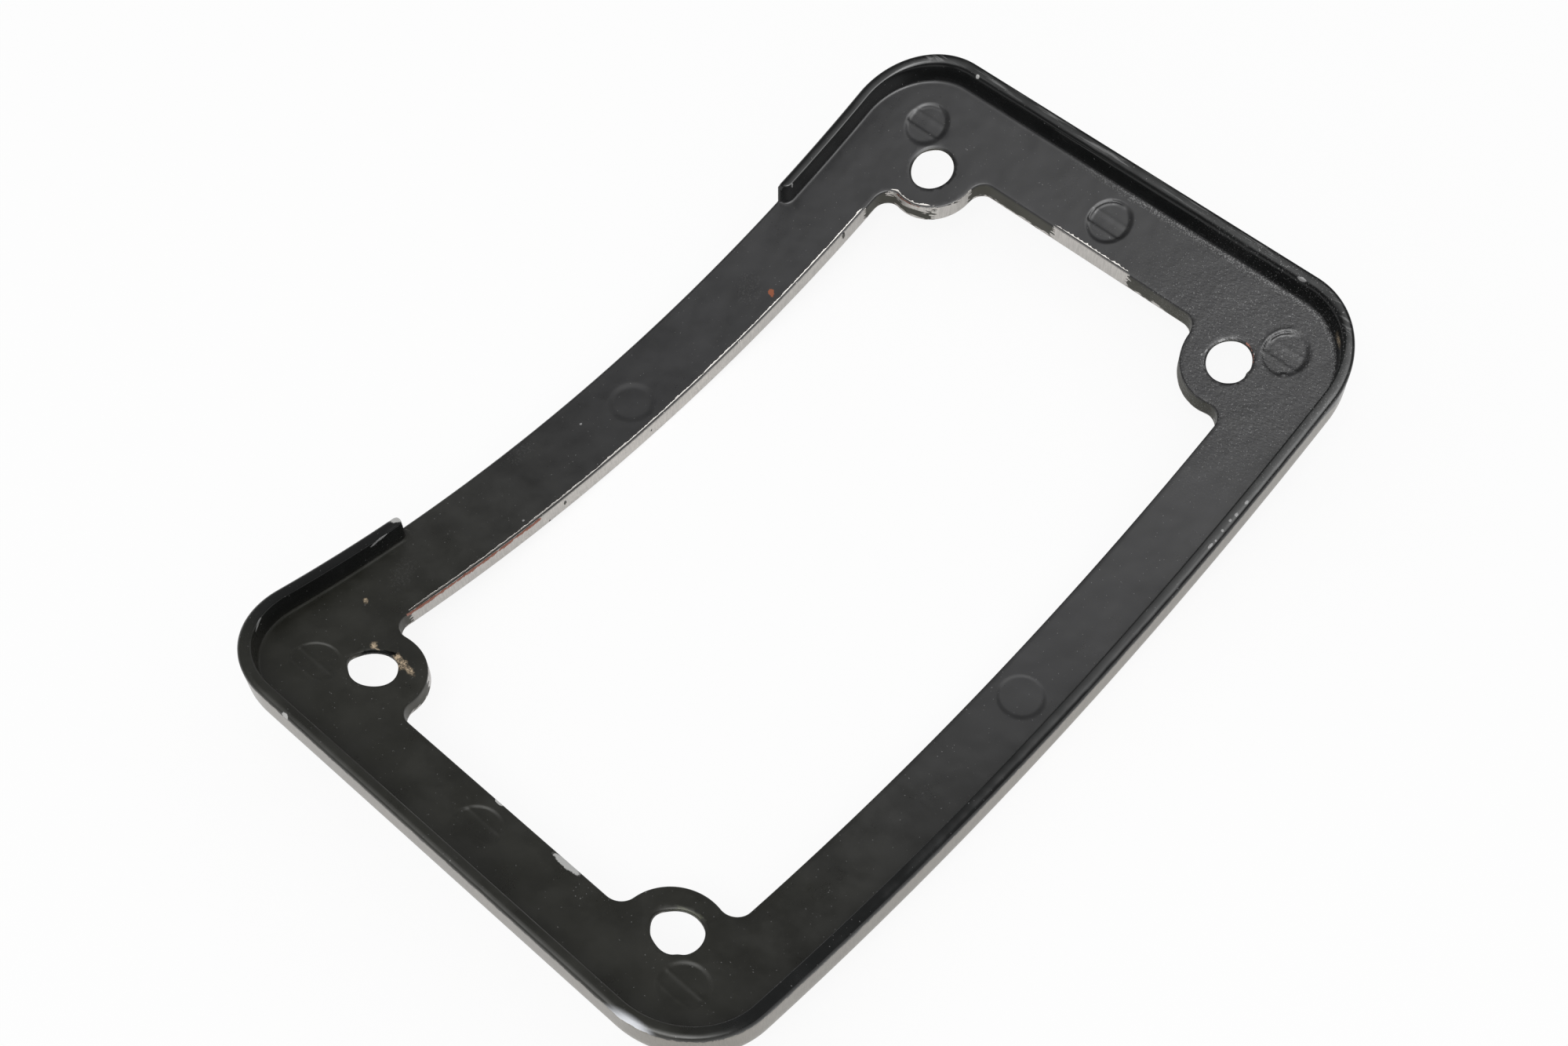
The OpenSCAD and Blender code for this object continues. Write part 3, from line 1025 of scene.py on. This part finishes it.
class Painter(Graph):
    """A graph for the finish, with its patterns in the casting's own coordinates."""

    def __init__(self, tree, plate):
        super().__init__(tree)
        self.plate = plate
        self.place = self.node("ShaderNodeTexCoord").outputs["Object"]
        self.x, self.y, _ = self.node("ShaderNodeSeparateXYZ", self.place).outputs
        self.fine = self.wavering(0.35 * MM, 3.0, 0.6)
        self.coarse = self.wavering(1.2 * MM, 4.0, 0.65)
        self.ragged = self.plus(self.times(self.coarse, 1.6), self.times(self.fine, 1.2))
        self.grainy = self.near(*GRAINY_BACK)
        self.far_end = self.slope(self.x, 82 * MM, 86 * MM)
        self.dark_rim = self.times(self.field("rim"), self.slope(self.x, -88 * MM, -78 * MM))

    def field(self, name):
        """A field of the mesh."""
        return self.node("ShaderNodeAttribute", settings={"attribute_name": name}).outputs["Fac"]

    def noise(self, step, detail=2.0, roughness=0.5, stretch=None):
        """Noise with spots of about one step, stretched along the axes."""
        vector = self.place
        if stretch:
            vector = self.node("ShaderNodeMapping", vector, Scale=stretch).outputs[0]
        return self.node("ShaderNodeTexNoise", Vector=vector, Scale=1.0 / step, Detail=detail,
                         Roughness=roughness).outputs[0]

    def wavering(self, step, detail, roughness, stretch=None):
        """Noise that wavers round zero."""
        return self.minus(self.noise(step, detail, roughness, stretch), 0.5)

    def mixed(self, part, first, second):
        """A colour that goes from first to second as part goes from 0 to 1."""
        made = self.node("ShaderNodeMix", part, settings={"data_type": "RGBA"})
        for socket, value in ((made.inputs[6], first), (made.inputs[7], second)):
            linked = isinstance(value, bpy.types.NodeSocket)
            self.feed(socket, value if linked else (*value, 1.0))
        return made.outputs[2]

    def scaled(self, colour, factor):
        """A colour made lighter or darker."""
        return self.vector("SCALE", colour, Scale=factor)[0]

    def most(self, *numbers):
        """The largest of some numbers."""
        return self.chain("MAXIMUM", *numbers)

    def near(self, x, y, far, close):
        """0 beyond the far distance from a place on the back, and 1 within the close one."""
        target = bent_place(self.plate, x, y, 0.0)
        distance = self.vector("DISTANCE", self.place, target)["Value"]
        return self.slope(distance, far * MM, close * MM)

    def spots(self, kind, ragged, full=0.85):
        """All spots of one kind, with ragged edges and full strength up to a share of the way."""
        whole = 0.0
        for x, y, height, length, width, tall, turn in SPOTS[kind]:
            made = self.node("ShaderNodeMapping", self.place, settings={"vector_type": "TEXTURE"},
                             Location=bent_place(self.plate, x, y, height),
                             Rotation=(0.0, 0.0, math.radians(turn)),
                             Scale=[full_size * MM / 2 for full_size in (length, width, tall)])
            out = self.plus(self.vector("LENGTH", made.outputs[0])["Value"], ragged)
            whole = self.most(whole, self.slope(out, 1.1, full))
        return whole


def bare_plating(paint):
    """How far the plating shows: in patches with ragged ends, and along worn edges."""
    patches = paint.field("bare")
    ends = paint.times(patches, paint.minus(1.0, patches), paint.field("wall"))
    streaks = paint.times(paint.wavering(0.4 * MM, 2.0, 0.5, (0.14, 0.14, 1.0)),
                          paint.between(ends, 0.5, 14.0))
    shown = paint.slope(paint.plus(paint.coarse, streaks, patches), 0.48, 0.53)
    below = paint.plus(paint.field("under_edge"), paint.times(paint.ragged, 0.1))
    worn = paint.plus(paint.field("worn_edge"), paint.times(paint.ragged, 0.8))
    shown = paint.most(paint.times(shown, paint.slope(below, 0.1, 0.25)),
                       paint.slope(worn, 0.85, 0.95))
    return paint.times(shown, paint.minus(1.0, paint.spots("paint", paint.ragged)))


def plating(paint, look):
    """Dull plating, streaked upright and darker on the outer walls."""
    metal = paint.mixed(paint.field("outer_wall"), look.chrome, look.darker_outer_plating)
    brushed = paint.noise(0.28 * MM, 3.0, 0.6, (1.0, 1.0, 0.12))
    return paint.scaled(metal, paint.slope(brushed, 0.3, 0.7, 0.88, 1.08))


def clean_paint(paint, look):
    """Black paint, with a painted light tint towards the left end, which differs from place to
    place and is dusty in spots.
    """
    coat = paint.mixed(paint.slope(paint.x, -70 * MM, 10 * MM), look.paint_left_light_tint, look.paint)
    coat = paint.mixed(paint.dark_rim, coat, look.paint_rim)
    coat = paint.mixed(paint.field("wall"), coat, look.paint_wall)
    coat = paint.scaled(coat, paint.slope(paint.noise(11 * MM, 3.0), 0.3, 0.7, 0.84, 1.16))
    dust = paint.times(paint.spots("dull", paint.times(paint.coarse, 3.0)),
                       paint.slope(paint.fine, -0.02, 0.2, 0.0, 0.11))
    return paint.mixed(dust, coat, look.scuff_and_glint)


def scuffs_and_glints(paint):
    """How far the paint is rubbed or flecked grey, with painted glints on the grainy paint and
    along the rim's foot, and painted highlights among the pale spots and the rim's scratches.
    """
    specks = paint.slope(paint.noise(0.4 * MM, 1.0), 0.75, 0.79, 0.0, 0.6)
    glints = paint.noise(0.26 * MM, 0.0)
    # Painted glints on the grainy paint round the right corner
    painted_glints = paint.times(paint.grainy, paint.slope(glints, 0.7, 0.78, 0.0, 0.6))
    # Painted glints dotted along the rim's foot
    foot = paint.times(paint.field("foot"), paint.near(*GLINTS_ALONG_FOOT),
                       paint.slope(glints, 0.5, 0.7, 0.0, 0.7))
    lengthwise = paint.noise(0.5 * MM, 3.0, 0.6, (0.08, 1.0, 1.0))
    across = paint.noise(0.5 * MM, 3.0, 0.6, (1.0, 0.06, 1.0))
    scratches = paint.slope(paint.between(paint.far_end, lengthwise, across), 0.5, 0.68, 0.0, 0.6)
    near_side = paint.times(paint.slope(paint.y, -45 * MM, -52 * MM),
                            paint.slope(paint.x, -40 * MM, 70 * MM, 0.0, 0.25))
    # Grey scratches along the rim's top, partly scuffs and partly painted highlights there, most at
    # the right end and on the near side
    rubbed = paint.times(paint.field("rim_top"), scratches, paint.most(paint.far_end, near_side))
    # Pale marks, some of them painted highlights and a painted glint
    pale = paint.spots("pale", paint.times(paint.ragged, 0.5))
    return paint.most(pale, specks, painted_glints, foot, rubbed)


def worn_paint(paint, look):
    """The paint with scuffed spots and painted glints and highlights, dried clay, stains and chips,
    a painted reflection and painted shade.
    """
    coat = paint.mixed(scuffs_and_glints(paint), clean_paint(paint, look), look.scuff_and_glint)
    crumbs = paint.wavering(0.5 * MM, 3.0, 0.7)
    clay = paint.times(paint.spots("clay", paint.times(crumbs, 3.0)),
                       paint.slope(crumbs, -0.2, 0.12, 0.25, 1.1))
    dried = paint.scaled(look.clay, paint.slope(crumbs, -0.12, 0.15, 0.35, 1.7))
    coat = paint.mixed(clay, coat, dried)
    # Kind of spot, how ragged it is, how far out it is full, and its colour; besides the stains and
    # chips, the painted reflection and the painted shade are among them
    stains = (
        ("rust", 1.0, 0.85, look.rust),
        ("olive", 0.5, 0.85, look.olive),
        ("painted_reflection", 0.0, 0.3, look.painted_reflection),
        ("shade", 0.3, 0.85, look.paint_rim),
        ("chip", 0.4, 0.85, look.chip),
    )
    for kind, ragged, full, colour in stains:
        spot_mask = paint.spots(kind, paint.times(paint.ragged, ragged), full)
        coat = paint.mixed(spot_mask, coat, colour)
    return coat


def roughness(paint, look, bare):
    """How rough the paint and the plating are, with the paint's gloss blotched."""
    gloss = paint.between(paint.dark_rim, look.face_roughness, look.rim_roughness)
    gloss = paint.plus(gloss, paint.times(paint.coarse, 0.2))
    blotches = paint.slope(paint.noise(7 * MM, 3.0), 0.3, 0.7, -0.1, 0.1)
    return paint.between(bare, paint.plus(gloss, blotches), look.chrome_roughness)


def relief(paint, bare):
    """Grain and low waves of the paint, fainter on the plating."""
    grit = paint.times(paint.grainy, 3.5, paint.noise(0.45 * MM, 2.0, 0.6, (1.0, 0.45, 1.0)))
    grain = paint.plus(paint.times(paint.noise(0.3 * MM, 2.0, 0.6), 0.15), grit)
    grain = paint.times(grain, paint.between(paint.field("rim"), 1.0, 0.05))
    waves = paint.times(paint.noise(5 * MM, 1.0), 4.5)
    height = paint.times(paint.plus(grain, waves), paint.between(bare, 1.0, 0.25))
    return paint.node("ShaderNodeBump", Height=height, Strength=0.5, Distance=0.06 * MM).outputs[0]


def finish_material(look, plate):
    """Worn black paint over dull plating, with copper, stains and dried clay, and with painted
    glints, highlights, reflection and shade.
    """
    material = bpy.data.materials.new("worn paint over plating")
    paint = Painter(emptied_tree(material), plate)
    bare = bare_plating(paint)
    colours = paint.mixed(bare, worn_paint(paint, look), plating(paint, look))
    copper = paint.plus(paint.field("copper"), paint.times(paint.ragged, 0.8))
    colours = paint.mixed(paint.slope(copper, 0.5, 0.6), colours, look.copper)
    # Painted shade: the shade spot on a hole's wall in full and the rim at the right end at a third
    # are shown as black metal, which takes away the paint's own reflections
    painted_shade = paint.times(paint.field("rim"), paint.far_end, 0.3)
    painted_shade = paint.most(paint.spots("shade", paint.times(paint.ragged, 0.3)), painted_shade)
    surface = paint.node("ShaderNodeBsdfPrincipled", **{
        "Base Color": colours,
        "Metallic": paint.most(bare, painted_shade),
        "Roughness": roughness(paint, look, bare),
        "IOR": 1.45,
        "Specular IOR Level": 0.5,
        "Normal": relief(paint, bare),
    })
    paint.node("ShaderNodeOutputMaterial", surface.outputs[0])
    return material


# Operators

def plain_object(name, data):
    """A new object in the scene, which holds a mesh, a light or a camera."""
    made = bpy.data.objects.new(name, data)
    bpy.context.scene.collection.objects.link(made)
    return made


class PLATEFRAME_OT_casting(Operator):
    """Build the bent casting with its rim, window, holes, marks and worn finish"""

    bl_idname = "plateframe.casting"
    bl_label = "Build Casting"

    def execute(self, context):
        scene = context.scene
        skin = flat_casting(scene)
        mesh = bpy.data.meshes.new("casting")
        points = np.concatenate(skin.points)
        points[:, 2] += flash_heights(points, scene.mark_shape) * (np.array(skin.parts) == "back")
        mesh.from_pydata(points.tolist(), [], skin.faces)
        add_fields(mesh, skin, scene)
        casting = plain_object("casting_flat", mesh)
        self.bend(context, casting, finish_material(scene.finish_look, scene.plate_shape))
        return {"FINISHED"}

    def bend(self, context, flat, material):
        """Runs the tree on the flat casting and keeps the result as a plain mesh."""
        values = {name: context.scene.path_resolve(path) for name, path in BEND_SIZES.items()}
        values["Finish"] = material
        modifier = flat.modifiers.new("Marks and bend", "NODES")
        modifier.node_group = bend_tree()
        for socket in modifier.node_group.interface.items_tree:
            if socket.in_out == "INPUT" and socket.name in values:
                modifier[socket.identifier] = values[socket.name]
        evaluated = flat.evaluated_get(context.evaluated_depsgraph_get())
        mesh = bpy.data.meshes.new_from_object(evaluated)
        bpy.data.objects.remove(flat)
        mesh.shade_smooth()
        piece = plain_object("cast_frame", mesh)
        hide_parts(NODE)
        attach(piece, "root")


class PLATEFRAME_OT_stage(Operator):
    """Set up the pale floor, the soft light and the camera"""

    bl_idname = "plateframe.stage"
    bl_label = "Build Stage"

    # How far the floor reaches from the middle, in metres
    FLOOR_REACH = 6.0

    # The photograph's camera: its place in metres, its turn in degrees and its lens in millimetres
    CAMERA_PLACE = (-0.15099, -0.13348, 0.33356)
    CAMERA_TURN = (31.9578, 0.8362, -48.1152)
    CAMERA_LENS = 49.56

    # How the soft box fades: shares of x, y and z that make up the distance along a direction,
    # the distances at which it is dark and full, and the kind of slope between them
    SOFT_BOX = (
        ((1.0, 0.25, 0.0), 0.7, 0.42, "SMOOTHSTEP"),
        ((1.0, -0.5, 0.0), 0.8, 0.35, "SMOOTHSTEP"),
        ((1.0, 0.0, 0.0), 1.2, -0.6, "LINEAR"),
        ((0.0, 1.0, 0.0), 0.6, -0.6, "LINEAR"),
        ((0.0, 0.0, 1.0), 0.25, 0.6, "SMOOTHSTEP"),
    )

    def execute(self, context):
        look = context.scene.stage_look
        self.floor(look)
        self.sky(context.scene, look)
        self.lamp(look)
        self.camera(context.scene)
        context.scene.view_settings.view_transform = "Standard"
        return {"FINISHED"}

    def floor(self, look):
        """A wide pale floor that shows white and keeps the shadow."""
        mesh = bpy.data.meshes.new("floor")
        corners = [(x * self.FLOOR_REACH, y * self.FLOOR_REACH, 0.0)
                   for x, y in ((-1, -1), (1, -1), (1, 1), (-1, 1))]
        mesh.from_pydata(corners, [], [(0, 1, 2, 3)])
        material = bpy.data.materials.new("pale floor")
        graph = Graph(emptied_tree(material))
        rays = graph.node("ShaderNodeLightPath").outputs
        matt = graph.node("ShaderNodeBsdfDiffuse", (*look.floor, 1.0)).outputs[0]
        white = graph.node("ShaderNodeEmission", (1.0, 1.0, 1.0, 1.0), 1.0).outputs[0]
        seen = graph.times(rays["Is Camera Ray"], look.glow)
        both = graph.node("ShaderNodeMixShader", seen, matt, white)
        graph.node("ShaderNodeOutputMaterial", both.outputs[0])
        mesh.materials.append(material)
        plain_object("floor", mesh)

    def sky(self, scene, look):
        """White for the camera, soft as a light, and a broad soft box in reflections."""
        world = bpy.data.worlds.new("studio")
        graph = Graph(emptied_tree(world))
        rays = graph.node("ShaderNodeLightPath").outputs
        direction = graph.node("ShaderNodeTexCoord").outputs["Generated"]
        over = 1.0
        for shares, dark, full, kind in self.SOFT_BOX:
            along = graph.vector("DOT_PRODUCT", direction, shares)["Value"]
            over = graph.times(over, graph.slope(along, dark, full, kind=kind))
        glossy = graph.slope(over, 0.0, 1.0, look.sky_low, look.sky_high, "LINEAR")
        level = graph.between(rays["Is Glossy Ray"], look.sky, glossy)
        level = graph.between(rays["Is Camera Ray"], level, 1.0)
        light = graph.node("ShaderNodeBackground", (1.0, 1.0, 1.0, 1.0), level)
        graph.node("ShaderNodeOutputWorld", light.outputs[0])
        scene.world = world

    def lamp(self, look):
        """A square soft lamp, one metre from the casting's middle, that looks at it."""
        light = bpy.data.lights.new("lamp", "AREA")
        light.size = look.lamp_side
        light.energy = look.lamp_power
        holder = plain_object("lamp", light)
        flat = math.cos(look.lamp_rise)
        holder.location = (flat * math.cos(look.lamp_turn), flat * math.sin(look.lamp_turn),
                           math.sin(look.lamp_rise))
        holder.rotation_euler = (math.pi / 2 - look.lamp_rise, 0.0, look.lamp_turn - 1.5 * math.pi)

    def camera(self, scene):
        """The camera at the photograph's place and angle."""
        lens = bpy.data.cameras.new("camera")
        lens.lens = self.CAMERA_LENS
        lens.clip_start = 0.01
        holder = plain_object("camera", lens)
        holder.location = self.CAMERA_PLACE
        holder.rotation_euler = np.radians(self.CAMERA_TURN)
        scene.camera = holder


class PLATEFRAME_PT_panel(Panel):
    """Sizes, finish and stage of the number plate frame"""

    bl_idname = "PLATEFRAME_PT_panel"
    bl_label = "Plate Frame"
    bl_space_type = "VIEW_3D"
    bl_region_type = "UI"
    bl_category = "Plate Frame"

    def draw(self, context):
        layout = self.layout
        for title, name, _, operator in GROUPS:
            box = layout.box()
            box.label(text=title)
            group = getattr(context.scene, name)
            for key in group.__annotations__:
                box.prop(group, key)
            if operator:
                box.operator(operator)


# Title in the panel, name in the scene, group, and the operator that it serves
GROUPS = (
    ("Plate", "plate_shape", PlateShape, None),
    ("Rim", "rim_shape", RimShape, None),
    ("Ejector marks", "mark_shape", MarkShape, None),
    ("Mesh", "mesh_detail", MeshDetail, None),
    ("Finish", "finish_look", Finish, PLATEFRAME_OT_casting.bl_idname),
    ("Stage", "stage_look", StageLook, PLATEFRAME_OT_stage.bl_idname),
)
CLASSES = (*[row[2] for row in GROUPS], PLATEFRAME_OT_casting, PLATEFRAME_OT_stage,
           PLATEFRAME_PT_panel)


def register():
    """Registers the classes and hangs the properties on the scene."""
    for item in CLASSES:
        bpy.utils.register_class(item)
    for _, name, group, _ in GROUPS:
        setattr(bpy.types.Scene, name, PointerProperty(type=group))


def unregister():
    """Takes the properties and the classes away again."""
    for _, name, _, _ in GROUPS:
        delattr(bpy.types.Scene, name)
    for item in reversed(CLASSES):
        bpy.utils.unregister_class(item)


def main():
    """Builds the part and its stage."""
    register()
    bpy.ops.plateframe.casting()
    bpy.ops.plateframe.stage()


if __name__ == "__main__":
    main()
